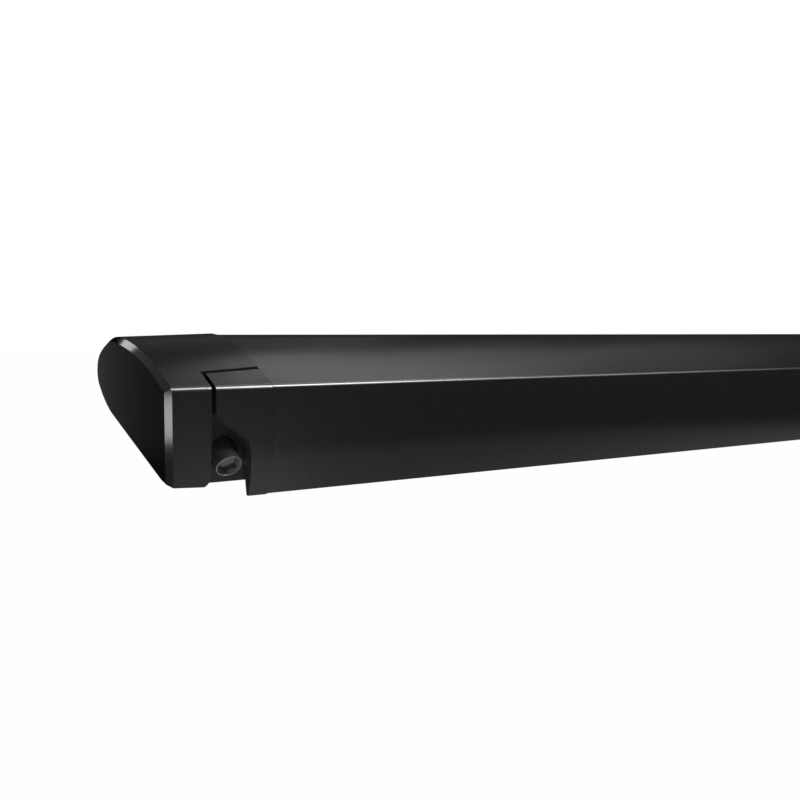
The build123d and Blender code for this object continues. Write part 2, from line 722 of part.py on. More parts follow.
with BuildPart() as front_rail:
    with BuildSketch(section_at(CAP_WIDTH - HALF)):
        add(rail_outline(RAIL_CORNER_RADIUS))
        add(within(rail_outline(RAIL_CORNER_RADIUS), RAIL_WALL), mode=Mode.SUBTRACT)
        panel((RAIL_BACK, -40), (80, 140), mode=Mode.SUBTRACT)
        panel((-5, -40), (80, RAIL_LIP_HEIGHT), mode=Mode.SUBTRACT)
        panel((WEB_DEPTH, SHELF_HEIGHT), (WEB_DEPTH + RAIL_WALL, 90))
        panel((1, SHELF_HEIGHT), (SHELF_BACK, SHELF_HEIGHT + RAIL_WALL))
        panel((SHELF_BACK - 1.8, 36), (SHELF_BACK, SHELF_HEIGHT + 1))
        panel((WEB_DEPTH + 1, 81), (RAIL_BACK, 93.5))
        add(rail_outline(RAIL_CORNER_RADIUS), mode=Mode.INTERSECT)
        with Locations(GROOVE):
            Circle(BEAD_RADIUS + 0.3, mode=Mode.SUBTRACT)
        panel((GROOVE[0], GROOVE[1] - 1.5), (RAIL_BACK + 2, GROOVE[1] + 1.5), mode=Mode.SUBTRACT)
    extrude(amount=LENGTH - 2 * CAP_WIDTH)
    for side in (-1, 1):
        bay = sorted((side * LEG_BAY, side * (HALF - CAP_WIDTH + 1)))
        block(bay, (WEB_DEPTH + RAIL_WALL, 60), (30, 60), mode=Mode.SUBTRACT)
    for spot in rail_cap_screw_spots:
        rod(spot.offset(-8), 2.1, 10, mode=Mode.SUBTRACT)
    for spot in hand_bolt_spots:
        rod(spot.offset(-12), 2.6, 14, mode=Mode.SUBTRACT)
publish(front_rail, "front_rail_profile")

with BuildPart() as rail_cap:
    with BuildSketch(section_at(RAIL_CAP_START - HALF)):
        add(rail_outline(CORNER_RADIUS))
        panel((RAIL_CAP_THICKNESS, -40), (80, 82), mode=Mode.SUBTRACT)
        panel((-5, -40), (80, RAIL_LIP_HEIGHT - RAIL_CAP_DROP), mode=Mode.SUBTRACT)
    extrude(amount=CAP_WIDTH - RAIL_CAP_START)
    extrude(seam_plan(CAP_SEAM_GAP, False), amount=160, mode=Mode.SUBTRACT)
    with BuildSketch(front_at(100)):
        with BuildLine():
            Line((CAP_WIDTH - HALF, 130), (RAIL_CAP_START - HALF, 130))
            Line((RAIL_CAP_START - HALF, 130), (RAIL_CAP_START - HALF, 62))
            Spline(
                (RAIL_CAP_START - HALF, 62), (48 - HALF, 57.8), (59.3 - HALF, 49), (70.6 - HALF, 40.7),
                (76.2 - HALF, 33.5), (78 - HALF, 24), (82 - HALF, -20),
                tangents=((0.3, -1), (0.08, -1)),
            )
            Line((82 - HALF, -20), (CAP_WIDTH - HALF, -20))
            Line((CAP_WIDTH - HALF, -20), (CAP_WIDTH - HALF, 130))
        make_face()
    extrude(amount=120, mode=Mode.INTERSECT)
    block((CAP_WIDTH - 4 - HALF, CAP_WIDTH + 16 - HALF), (2.8, 13.6), (48, 81))
    rod(rail_cap_screw_spots[0].offset(-8), 2.1, 10, mode=Mode.SUBTRACT)
publish_pair(rail_cap, "rail_end_cap")

# Hand brackets on the web of the rail, with the pins that the arms end on
with BuildPart() as hand_bracket:
    for low in (FORE_HEIGHT / 2 + 0.5, -FORE_HEIGHT / 2 - 0.5 - EAR_THICKNESS):
        with BuildSketch(arm_level(low)):
            with Locations((0, hand_step)):
                Circle(HAND_EAR_RADIUS)
            panel((-HAND_EAR_RADIUS, -80), (HAND_EAR_RADIUS, hand_step))
        extrude(amount=EAR_THICKNESS)
    block(
        (SHOULDER_INSET - 24 - HALF, SHOULDER_INSET + 24 - HALF),
        (WEB_DEPTH + RAIL_WALL + 0.1, HAND_BASE_DEPTH), (20, 79),
    )
    block(
        (SHOULDER_INSET - 30 - HALF, SHOULDER_INSET + 30 - HALF),
        (-60, WEB_DEPTH + RAIL_WALL + 0.1), (-60, 140), mode=Mode.SUBTRACT,
    )
    with Locations(arm_level(-40).location * Location((0, hand_step))):
        Cylinder(
            PIN_RADIUS + 0.02, 80, align=(Align.CENTER, Align.CENTER, Align.MIN), mode=Mode.SUBTRACT
        )
    for spot in hand_bolt_spots[:2]:
        rod(spot.offset(-12), 2.6, 14, mode=Mode.SUBTRACT)
publish_pair(hand_bracket, "hand_bracket")
publish_group(arm_pin(0, hand_step, FORE_HEIGHT / 2 + EAR_THICKNESS + 0.5, 7), "hand_pins")

with BuildPart() as rail_screws:
    for spot in rail_cap_screw_spots:
        screw(spot, 2, 7, 4, 2, 2)
    for spot in hand_bolt_spots:
        screw(spot, 2.5, 11, 4.5, 3, 2.4)
publish(rail_screws, "rail_screws")

# Cloth: the bead in the rail's groove and the strip from there to the roll
cloth_width = LENGTH - 2 * CLOTH_INSET
roll_edge = ROLL_RADIUS + CLOTH_THICKNESS / 2
roll_distance = math.dist(GROOVE, (ROLLER_DEPTH, ROLLER_HEIGHT))
cloth_angle = math.asin(roll_edge / roll_distance) + math.atan2(
    ROLLER_HEIGHT - GROOVE[1], ROLLER_DEPTH - GROOVE[0]
)
cloth_reach = math.sqrt(roll_distance**2 - roll_edge**2)

with BuildPart() as canopy_bead:
    with BuildSketch(section_at(CLOTH_INSET - HALF)):
        with Locations(GROOVE):
            Circle(BEAD_RADIUS)
        panel(GROOVE, (RAIL_BACK + 0.6, GROOVE[1] + 1.1))
    extrude(amount=cloth_width)
publish(canopy_bead, "canopy_bead")

with BuildPart() as canopy_front:
    strip = Plane(
        origin=point(CLOTH_INSET - HALF, *GROOVE),
        x_dir=(0, math.cos(cloth_angle), math.sin(cloth_angle)), z_dir=(1, 0, 0),
    )
    with BuildSketch(strip):
        panel((8.4, -CLOTH_THICKNESS / 2), (cloth_reach - 0.3, CLOTH_THICKNESS / 2))
    extrude(amount=cloth_width)
publish(canopy_front, "canopy_front")

with BuildPart() as lip_seal:
    block((CAP_WIDTH + 2 - HALF, HALF - CAP_WIDTH - 2), (34.5, 38.5), (94.6, 97.4))
publish(lip_seal, "lip_seal")


# Support legs. Each is drawn on the left, then mirrored and set down into the lower lane.
lane_drop = Location((0, 0, RIGHT_LANE - LEFT_LANE))


def publish_legs(piece, label):
    publish(piece, f"left_{label}")
    with BuildPart() as other:
        mirror(piece.part.moved(lane_drop), about=Plane.YZ)
    publish(other, f"right_{label}")


def leg_section(reach):
    return Plane(
        origin=point(reach - LEG_HINGE, LEG_DEPTH, LEFT_LANE), x_dir=(0, 1, 0), z_dir=(1, 0, 0)
    )


def leg_tube(start, length, width, height, wall):
    with BuildPart() as tube:
        with BuildSketch(leg_section(start)):
            RectangleRounded(width, height, 2.5)
            RectangleRounded(width - 2 * wall, height - 2 * wall, 1, mode=Mode.SUBTRACT)
        extrude(amount=length)
    return tube


inner_width = LEG_WIDTH - 2 * LEG_WALL - 2 * LEG_GAP
inner_height = LEG_HEIGHT - 2 * LEG_WALL - 2 * LEG_GAP
outer_end = LEG_START + LEG_OUTER_LENGTH
inner_end = outer_end + LEG_SHOW
foot_reach = inner_end + 12
knuckle_half = 8
ear_gap = 0.4
leg_ear = 2.5
half_pin = knuckle_half + ear_gap + leg_ear


def leg_bracket(lane):
    drop = SHELF_HEIGHT - 0.1 - lane
    with BuildPart() as bracket:
        for near in (-half_pin, knuckle_half + ear_gap):
            with BuildSketch(leg_side(LEG_DEPTH + near + leg_ear)):
                Circle(10)
                panel((-10, 0), (10, drop))
            extrude(amount=leg_ear)
        with BuildSketch(leg_side(LEG_DEPTH + half_pin)):
            panel((-22, drop - 2.4), (11, drop))
        extrude(amount=2 * half_pin)
        rod(leg_side(60), LEG_PIN_RADIUS + 0.02, 60, mode=Mode.SUBTRACT)
    return bracket.part


with BuildPart() as leg_brackets:
    add(leg_bracket(LEFT_LANE))
    mirror(leg_bracket(RIGHT_LANE).moved(lane_drop), about=Plane.YZ)
publish(leg_brackets, "leg_brackets")

with BuildPart() as leg_pins:
    rod(leg_side(LEG_DEPTH + half_pin), LEG_PIN_RADIUS, 2 * half_pin)
    mirror(leg_pins.part.moved(lane_drop), about=Plane.YZ)
publish(leg_pins, "leg_pins")

with BuildPart() as leg_knuckle:
    with BuildSketch(leg_side(LEG_DEPTH + knuckle_half)):
        Circle(9.5)
        panel((0, -9.2), (LEG_START, 9.2))
    extrude(amount=2 * knuckle_half)
    with BuildSketch(leg_section(LEG_START)):
        RectangleRounded(LEG_WIDTH - 2 * LEG_WALL - 0.3, LEG_HEIGHT - 2 * LEG_WALL - 0.3, 0.9)
    extrude(amount=30)
    rod(leg_side(60), LEG_PIN_RADIUS + RUNNING_GAP, 60, mode=Mode.SUBTRACT)
publish_legs(leg_knuckle, "leg_knuckle")

publish_legs(leg_tube(LEG_START, LEG_OUTER_LENGTH, LEG_WIDTH, LEG_HEIGHT, LEG_WALL), "leg_outer_tube")
publish_legs(
    leg_tube(inner_end - LEG_INNER_LENGTH, LEG_INNER_LENGTH, inner_width, inner_height, 1.5),
    "leg_inner_tube",
)

with BuildPart() as foot_fork:
    with BuildSketch(leg_section(inner_end)):
        Rectangle(inner_width, inner_height)
    extrude(amount=3)
    with BuildSketch(leg_section(inner_end)):
        RectangleRounded(inner_width - 3.3, inner_height - 3.3, 0.9)
    extrude(amount=-20)
    for near in (-9.5, 5.4):
        with BuildSketch(leg_side(LEG_DEPTH + near + 4.1)):
            with Locations((foot_reach, 0)):
                Circle(5.4)
            panel((inner_end, -5.4), (foot_reach, 5.4))
        extrude(amount=4.1)
    with Locations(leg_side(LEG_DEPTH + 9.5).location * Location((foot_reach, 0))):
        Cylinder(2, 19, align=(Align.CENTER, Align.CENTER, Align.MIN))
publish_legs(foot_fork, "foot_fork")

with BuildPart() as leg_foot:
    with BuildSketch(leg_side(LEG_DEPTH + 5)):
        with Locations((foot_reach, 0)):
            Circle(5)
        panel((foot_reach, -5), (foot_reach + 7, 5))
        with Locations((foot_reach, 0)):
            Circle(2 + RUNNING_GAP, mode=Mode.SUBTRACT)
    extrude(amount=10)
    with BuildSketch(leg_section(foot_reach + 6.2)):
        RectangleRounded(24, 16, 3)
    extrude(amount=5)
publish_legs(leg_foot, "leg_foot")

with BuildPart() as leg_lever:
    lever_pivot = outer_end - 24
    with BuildSketch(leg_side(LEG_DEPTH + LEG_WIDTH / 2 + 2.3)):
        with Locations((lever_pivot, 0)):
            Circle(6)
            with Locations((LEVER_LENGTH / 2, 0)):
                RectangleRounded(LEVER_LENGTH, 9, 3)
    extrude(amount=2)
publish_legs(leg_lever, "leg_lever")
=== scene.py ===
# Closed roll out awning for a camper: finishes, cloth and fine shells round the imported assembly.
# Metres, with the pieces' own dictionaries in mm. X runs along the awning, the front faces -Y and Z
# is up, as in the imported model.
import json
import math

import bmesh
import bpy
from mathutils import Matrix, Vector

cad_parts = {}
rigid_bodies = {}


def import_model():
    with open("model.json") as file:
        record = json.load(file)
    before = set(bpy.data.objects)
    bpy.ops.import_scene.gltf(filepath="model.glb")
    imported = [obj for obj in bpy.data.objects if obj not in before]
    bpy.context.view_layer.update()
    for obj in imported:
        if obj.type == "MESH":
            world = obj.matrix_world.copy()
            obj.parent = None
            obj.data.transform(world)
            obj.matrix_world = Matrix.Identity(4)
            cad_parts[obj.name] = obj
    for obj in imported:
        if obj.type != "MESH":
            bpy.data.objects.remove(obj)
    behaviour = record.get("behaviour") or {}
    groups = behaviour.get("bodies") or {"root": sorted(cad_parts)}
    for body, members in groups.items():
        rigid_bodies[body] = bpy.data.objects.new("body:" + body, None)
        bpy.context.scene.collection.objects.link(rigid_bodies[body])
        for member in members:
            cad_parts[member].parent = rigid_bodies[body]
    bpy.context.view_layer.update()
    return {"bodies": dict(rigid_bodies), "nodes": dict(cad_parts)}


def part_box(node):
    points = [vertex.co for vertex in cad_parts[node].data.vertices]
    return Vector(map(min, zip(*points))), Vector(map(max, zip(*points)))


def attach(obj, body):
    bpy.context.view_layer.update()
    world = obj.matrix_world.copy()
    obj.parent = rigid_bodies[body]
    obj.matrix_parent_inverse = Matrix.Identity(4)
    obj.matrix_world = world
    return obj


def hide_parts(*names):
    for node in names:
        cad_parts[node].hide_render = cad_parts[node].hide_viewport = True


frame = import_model()
nodes = frame["nodes"]
print("frame loaded:", len(nodes), "nodes")

mm = 0.001
caseLength = 3000
halfLength = caseLength / 2 * mm
seatDepth = 187 * mm  # from the front face back to the mounting plane
seatHeight = 102 * mm  # from the cap's sill up to the mounting channel


def spot(inset, depth, height):
    # inset from the left end, depth behind the front face, height above the cap's sill, in mm
    return Vector((inset * mm - halfLength, depth * mm - seatDepth, height * mm - seatHeight))


# Materials

noiseRange = (0.3, 0.7)  # where most of a noise's values lie
peelDepth = 0.6 * mm
grainDepth = 0.2 * mm


def newTree(name):
    material = bpy.data.materials.new(name)
    material.use_nodes = True
    tree = material.node_tree
    shader = tree.nodes["Principled BSDF"]
    return material, tree, shader


def addNode(tree, kind, inputs=None, **settings):
    node = tree.nodes.new(kind)
    for key, value in settings.items():
        setattr(node, key, value)
    for key, value in (inputs or {}).items():
        node.inputs[key].default_value = value
    return node


def join(tree, source, output, target, socket):
    tree.links.new(source.outputs[output], target.inputs[socket])


def objectPoints(tree, stretch=(1, 1, 1)):
    place = addNode(tree, "ShaderNodeTexCoord")
    mapping = addNode(tree, "ShaderNodeMapping", {"Scale": stretch})
    join(tree, place, "Object", mapping, "Vector")
    return mapping


def noiseAt(tree, mapping, scale, detail=2.0):
    noise = addNode(tree, "ShaderNodeTexNoise", {"Scale": scale, "Detail": detail})
    join(tree, mapping, "Vector", noise, "Vector")
    return noise


def spread(tree, source, output, low, high):
    # stretches the noise's usual range to low..high
    least, most = noiseRange
    fit = addNode(
        tree, "ShaderNodeMapRange",
        {"From Min": least, "From Max": most, "To Min": low, "To Max": high},
    )
    join(tree, source, output, fit, "Value")
    return fit


def shades(tree, source, output, dark, light):
    mix = addNode(tree, "ShaderNodeMix", data_type="RGBA")
    mix.inputs["A"].default_value = (*dark, 1)
    mix.inputs["B"].default_value = (*light, 1)
    join(tree, source, output, mix, "Factor")
    return mix


def bumpFrom(tree, source, output, strength, distance, below=None):
    bump = addNode(tree, "ShaderNodeBump", {"Strength": strength, "Distance": distance})
    join(tree, source, output, bump, "Height")
    if below:
        join(tree, below, "Normal", bump, "Normal")
    return bump


def grainedFinish(name, look):
    # a fine speckled grain over a soft unevenness, for coats, mouldings, metal and cloth alike
    material, tree, shader = newTree(name)
    points = objectPoints(tree)
    fine = noiseAt(tree, points, look["grainScale"], 3)
    broad = noiseAt(tree, points, look["broadScale"], 2)
    tint = shades(tree, spread(tree, fine, "Fac", 0, 1), "Result", look["dark"], look["light"])
    join(tree, tint, "Result", shader, "Base Color")
    low, high = look["roughness"]
    join(tree, spread(tree, broad, "Fac", low, high), "Result", shader, "Roughness")
    peel = bumpFrom(tree, broad, "Fac", look["peel"], peelDepth)
    grain = bumpFrom(tree, fine, "Fac", look["grain"], grainDepth, peel)
    join(tree, grain, "Normal", shader, "Normal")
    shader.inputs["Specular IOR Level"].default_value = look["specular"]
    shader.inputs["Metallic"].default_value = look.get("metallic", 0)
    shader.inputs["IOR"].default_value = look.get("ior", 1.5)
    return material


coatLook = {
    "dark": (0.0062, 0.0064, 0.0068), "light": (0.0128, 0.0130, 0.0138),
    "roughness": (0.29, 0.32), "specular": 0.15,
    "grainScale": 800, "broadScale": 160, "grain": 0.10, "peel": 0.03,
}
mouldLook = {
    "dark": (0.0080, 0.0080, 0.0083), "light": (0.0100, 0.0100, 0.0104),
    "roughness": (0.29, 0.34), "specular": 0.12,
    "grainScale": 1600, "broadScale": 60, "grain": 0.10, "peel": 0.03,
}
edgeLook = {
    "dark": (0.0078, 0.0080, 0.0085), "light": (0.0108, 0.0110, 0.0116),
    "roughness": (0.29, 0.32), "specular": 0.5, "ior": 1.8,
    "grainScale": 1600, "broadScale": 60, "grain": 0.05, "peel": 0.02,
}
chamferLook = {
    "dark": (0.0080, 0.0080, 0.0083), "light": (0.0100, 0.0100, 0.0104),
    "roughness": (0.08, 0.10), "specular": 0.5,
    "grainScale": 1600, "broadScale": 60, "grain": 0.03, "peel": 0.02,
}
socketLook = {
    "dark": (0.024, 0.024, 0.024), "light": (0.031, 0.031, 0.031),
    "roughness": (0.20, 0.24), "specular": 0.5,
    "grainScale": 1200, "broadScale": 90, "grain": 0.12, "peel": 0.05,
}
armLook = {
    "dark": (0.10, 0.105, 0.11), "light": (0.13, 0.134, 0.14),
    "roughness": (0.36, 0.46), "specular": 0.4,
    "grainScale": 900, "broadScale": 140, "grain": 0.2, "peel": 0.1,
}
castLook = {
    "dark": (0.30, 0.30, 0.31), "light": (0.42, 0.42, 0.43), "metallic": 1,
    "roughness": (0.42, 0.58), "specular": 0.5,
    "grainScale": 600, "broadScale": 90, "grain": 0.35, "peel": 0.2,
}
steelLook = {
    "dark": (0.45, 0.45, 0.46), "light": (0.60, 0.60, 0.60), "metallic": 1,
    "roughness": (0.24, 0.38), "specular": 0.5,
    "grainScale": 400, "broadScale": 120, "grain": 0.1, "peel": 0.05,
}
aluminiumLook = {
    "dark": (0.55, 0.56, 0.57), "light": (0.66, 0.67, 0.68), "metallic": 1,
    "roughness": (0.30, 0.42), "specular": 0.5,
    "grainScale": 700, "broadScale": 60, "grain": 0.1, "peel": 0.04,
}
nylonLook = {
    "dark": (0.75, 0.72, 0.64), "light": (0.80, 0.77, 0.70),
    "roughness": (0.38, 0.46), "specular": 0.4,
    "grainScale": 700, "broadScale": 90, "grain": 0.1, "peel": 0.05,
}
rubberLook = {
    "dark": (0.010, 0.010, 0.010), "light": (0.018, 0.018, 0.018),
    "roughness": (0.62, 0.78), "specular": 0.25,
    "grainScale": 1100, "broadScale": 200, "grain": 0.3, "peel": 0.1,
}
clothLook = {
    "dark": (0.20, 0.21, 0.22), "light": (0.26, 0.27, 0.28),
    "roughness": (0.66, 0.78), "specular": 0.25,
    "grainScale": 1400, "broadScale": 300, "grain": 0.3, "peel": 0.1,
}
finishes = {
    "coat": grainedFinish("anthracitePowderCoat", coatLook),
    "mould": grainedFinish("mouldedEndCap", mouldLook),
    "chamfer": grainedFinish("smoothCapEdge", chamferLook),
    "edge": grainedFinish("smoothFrontCorner", edgeLook),
    "socket": grainedFinish("crankEyePlastic", socketLook),
    "arm": grainedFinish("greyArmCoat", armLook),
    "cast": grainedFinish("castAluminium", castLook),
    "steel": grainedFinish("zincPlatedSteel", steelLook),
    "aluminium": grainedFinish("millAluminium", aluminiumLook),
    "nylon": grainedFinish("naturalNylon", nylonLook),
    "rubber": grainedFinish("sealRubber", rubberLook),
    "cloth": grainedFinish("awningCloth", clothLook),
}
nodeFinishes = {
    "coat": ["housing_profile", "front_rail_profile"],
    "mould": ["end_cap", "rail_end_cap", "gearbox_case", "gearbox_cover"],
    "socket": ["crank_socket"],
    "arm": ["upper_arm_tube", "forearm_tube", "leg_outer_tube"],
    "cast": [
        "bearing_plate", "shoulder_bracket", "shoulder_knuckle", "elbow_fork", "elbow_knuckle",
        "hand_knuckle", "hand_bracket",
    ],
    "steel": [
        "underside_screws", "rail_screws", "slot_nuts", "shoulder_pins", "hand_pins", "elbow_pin",
        "leg_pins", "worm_shaft", "arm_spring", "leg_brackets",
    ],
    "aluminium": ["roller_tube", "leg_inner_tube"],
    "nylon": ["roller_bushes", "roller_plug", "worm_wheel"],
    "rubber": ["lip_seal", "leg_foot", "leg_lever", "leg_knuckle", "foot_fork"],
    "cloth": ["canopy_roll", "canopy_front", "canopy_bead"],
}
for finish, names in nodeFinishes.items():
    for name in names:
        for full in (name, f"left_{name}", f"right_{name}"):
            if full in nodes:
                slots = nodes[full].data.materials
                slots.clear()
                slots.append(finishes[finish])
print("finishes on the packed nodes:", len(finishes))


# Pieces

mergeDistance = 0.001 * mm
flatAngle = math.radians(0.3)  # faces closer than this to one plane become one


def newPiece(name, shape, body, finish):
    mesh = bpy.data.meshes.new(name)
    shape.to_mesh(mesh)
    shape.free()
    piece = bpy.data.objects.new(name, mesh)
    bpy.context.scene.collection.objects.link(piece)
    mesh.materials.append(finishes[finish])
    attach(piece, body)
    return piece


def shadeBy(shape, degrees):
    # smooth faces that part at every edge sharper than this
    limit = math.radians(degrees)
    for face in shape.faces:
        face.smooth = True
    for edge in shape.edges:
        edge.smooth = len(edge.link_faces) == 2 and edge.calc_face_angle() < limit


def mergedCopy(node):
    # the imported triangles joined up, with flat faces whole again
    shape = bmesh.new()
    shape.from_mesh(nodes[node].data)
    bmesh.ops.remove_doubles(shape, verts=shape.verts, dist=mergeDistance)
    bmesh.ops.dissolve_limit(
        shape, angle_limit=flatAngle, verts=shape.verts, edges=shape.edges
    )
    return shape


def evenNormals(piece):
    even = piece.modifiers.new("evenNormals", "WEIGHTED_NORMAL")
    even.keep_sharp = True


def softened(name, node, body, finish, edge):
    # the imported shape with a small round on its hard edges
    shape = mergedCopy(node)
    shadeBy(shape, edge["angle"])
    piece = newPiece(name, shape, body, finish)
    bevel = piece.modifiers.new("edgeRound", "BEVEL")
    bevel.width = edge["width"] * mm
    bevel.segments = edge["segments"]
    bevel.limit_method = "ANGLE"
    bevel.angle_limit = math.radians(edge["angle"])
    bevel.harden_normals = True
    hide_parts(node)
    return piece


# Fine shells: housing, end caps, front rail and its caps, and the small parts of the legs

shells = {
    "housing": {
        "node": "housing_profile", "body": "cassette", "finish": "coat", "slot": "powder_coat",
        "edge": {"width": 0.4, "segments": 2, "angle": 28},
    },
    "frontRail": {
        "node": "front_rail_profile", "body": "front_rail", "finish": "coat", "slot": "powder_coat",
        "edge": {"width": 0.4, "segments": 2, "angle": 28},
    },
    "endCap": {
        "node": "{side}_end_cap", "body": "cassette", "finish": "mould", "slot": "cap_plastic",
        "edge": {"width": 0.5, "segments": 3, "angle": 30},
    },
    "railEndCap": {
        "node": "{side}_rail_end_cap", "body": "front_rail",
        "finish": "mould", "slot": "cap_plastic",
        "edge": {"width": 0.4, "segments": 3, "angle": 30},
    },
    "legFoot": {
        "node": "{side}_leg_foot", "body": "{side}_foot", "finish": "rubber", "slot": "rubber",
        "edge": {"width": 0.8, "segments": 3, "angle": 40},
    },
    "legLever": {
        "node": "{side}_leg_lever", "body": "{side}_lever",
        "finish": "rubber", "slot": "black_plastic",
        "edge": {"width": 0.5, "segments": 3, "angle": 40},
    },
}
for name, shell in shells.items():
    sides = ("left", "right") if "{side}" in shell["node"] else ("",)
    for side in sides:
        softened(
            side + name[0].upper() + name[1:] if side else name,
            shell["node"].format(side=side), shell["body"].format(side=side),
            shell["finish"], shell["edge"],
        )


# The long front corner and the bands round the end faces are smoother than the rest of their shells

smooth = {
    "chamfer": 5, "chamferAngle": 45, "chamferSlack": 0.01, "slantSlack": 0.02,
    "cornerBottom": 76, "cornerDepth": 8, "cornerLean": 0.1,
}


def polish(name, finish, meets):
    # gives the smoother finish to the faces that a test picks
    mesh = bpy.data.objects[name].data
    mesh.materials.append(finishes[finish])
    index = len(mesh.materials) - 1
    for face in mesh.polygons:
        if meets(face.center, face.normal):
            face.material_index = index


def onEndChamfer(center, normal):
    # the slanted band round the end face
    inset = halfLength - abs(center.x)
    slant = math.cos(math.radians(smooth["chamferAngle"]))
    slanted = abs(abs(normal.x) - slant) < smooth["slantSlack"]
    return slanted and inset < (smooth["chamfer"] + smooth["chamferSlack"]) * mm


def onFrontCorner(center, normal):
    # the long rounded corner between the front and the roof
    low = spot(0, 0, smooth["cornerBottom"])
    near = center.y - low.y < smooth["cornerDepth"] * mm and center.z > low.z
    return near and normal.y < -smooth["cornerLean"] and normal.z > smooth["cornerLean"]


polish("frontRail", "edge", onFrontCorner)
for side in ("left", "right"):
    polish(f"{side}RailEndCap", "edge", onFrontCorner)
    polish(f"{side}EndCap", "edge", onFrontCorner)
    polish(f"{side}EndCap", "chamfer", onEndChamfer)
print("fine shells made:", len(shells))

# Crank eye: a turned body with a thin rim and a six-sided recess, which rises to the back

crankEye = {
    "inset": 60, "faceDepth": 8, "faceHeight": 13.5, "lean": (4, 3),
    "radius": 12, "length": 32, "segments": 96, "rimRound": 0.5, "rimWidth": 0.5,
    "mouthRadius": 11, "mouthLevels": (0.7, 1.4, 2.1, 2.8), "mouthDepth": 4,
    "keyFlat": 9, "keyDepth": 9, "smoothAngle": 22,
}


def makeCrankEye():
    eye = crankEye
    radius = eye["radius"] * mm
    length = eye["length"] * mm
    shape = bmesh.new()
    bmesh.ops.create_cone(
        shape, cap_ends=True, segments=eye["segments"], radius1=radius, radius2=radius, depth=length
    )
    bmesh.ops.translate(shape, verts=shape.verts, vec=(0, 0, length / 2))
    face = min(shape.faces, key=lambda each: each.calc_center_median().z)
    bmesh.ops.bevel(
        shape, geom=list(face.edges), offset=eye["rimRound"] * mm, segments=3, profile=0.5,
        affect="EDGES", material=-1,
    )
    face = min(shape.faces, key=lambda each: each.calc_center_median().z)
    bmesh.ops.inset_region(shape, faces=[face], thickness=eye["rimWidth"] * mm)
    # the recess: a round mouth that narrows to the six flats of the key, one corner down
    widest = (eye["radius"] - eye["rimRound"] - eye["rimWidth"]) * mm
    flatTurn = math.radians(60)
    for level in (*eye["mouthLevels"], eye["mouthDepth"], eye["keyDepth"]):
        made = bmesh.ops.extrude_face_region(shape, geom=[face])
        corners = [item for item in made["geom"] if isinstance(item, bmesh.types.BMVert)]
        bmesh.ops.delete(shape, geom=[face], context="FACES_ONLY")
        face = next(item for item in made["geom"] if isinstance(item, bmesh.types.BMFace))
        narrowed = min(1, level / eye["mouthDepth"])
        mouth = eye["mouthRadius"] + (eye["keyFlat"] - eye["mouthRadius"]) * narrowed
        for corner in corners:
            turn = math.atan2(corner.co.y, corner.co.x) + flatTurn / 2
            turn = turn % flatTurn - flatTurn / 2
            away = min(widest, max(eye["keyFlat"] / math.cos(turn), mouth) * mm)
            scale = away / corner.co.xy.length
            corner.co.x *= scale
            corner.co.y *= scale
            corner.co.z = level * mm
    shadeBy(shape, eye["smoothAngle"])
    shape.transform(Matrix.Rotation(-math.atan2(*eye["lean"]), 4, "X"))
    bmesh.ops.translate(
        shape, verts=shape.verts, vec=spot(eye["inset"], eye["faceDepth"], eye["faceHeight"])
    )
    bmesh.ops.recalc_face_normals(shape, faces=shape.faces)
    piece = newPiece("crankEye", shape, "crank_drive", "socket")
    evenNormals(piece)
    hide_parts("crank_socket")


makeCrankEye()
print("crank eye made")

# Canopy: the cloth on the roller, the strip from there to the front rail, and its bead

canopy = {
    "inset": 122, "thickness": 0.38, "rollerDepth": 137, "rollerHeight": 86.125,
    "innerRadius": 25.3, "outerRadius": 30.9, "turns": 14, "stepsInTurn": 48,
    "grooveDepth": 24, "grooveHeight": 87, "stripStart": 5.2, "rows": 12, "smoothAngle": 30,
}
bead = {
    "radius": 3.3, "steps": 20, "mouthAngle": 20, "flapReach": (7, 7.2), "flapRise": (-0.1, 1.0),
    "smoothAngle": 40,
}
clothWidth = (caseLength - 2 * canopy["inset"]) * mm
edgeRadius = canopy["outerRadius"] + canopy["thickness"] / 2
grooveAway = math.dist(
    (canopy["grooveDepth"], canopy["grooveHeight"]), (canopy["rollerDepth"], canopy["rollerHeight"])
)
clothRise = math.asin(edgeRadius / grooveAway) + math.atan2(
    canopy["rollerHeight"] - canopy["grooveHeight"], canopy["rollerDepth"] - canopy["grooveDepth"]
)
clothReach = math.sqrt(grooveAway**2 - edgeRadius**2)


def drawAcross(shape, parts):
    # carries what was just extruded from one edge of the cloth to the other
    far = [item for item in parts["geom"] if isinstance(item, bmesh.types.BMVert)]
    bmesh.ops.translate(shape, verts=far, vec=(clothWidth, 0, 0))
    bmesh.ops.recalc_face_normals(shape, faces=shape.faces)


def makeCloth(name, body, places):
    # a sheet as wide as the canopy that follows a line of places, and the length of that line
    shape = bmesh.new()
    verts = [shape.verts.new(place) for place in places]
    line = [shape.edges.new(pair) for pair in zip(verts, verts[1:])]
    length = sum(edge.calc_length() for edge in line)
    drawAcross(shape, bmesh.ops.extrude_edge_only(shape, edges=line))
    shadeBy(shape, canopy["smoothAngle"])
    return newPiece(name, shape, body, "cloth"), length


def thicken(piece):
    wall = piece.modifiers.new("clothThickness", "SOLIDIFY")
    wall.thickness = canopy["thickness"] * mm
    wall.offset = 0


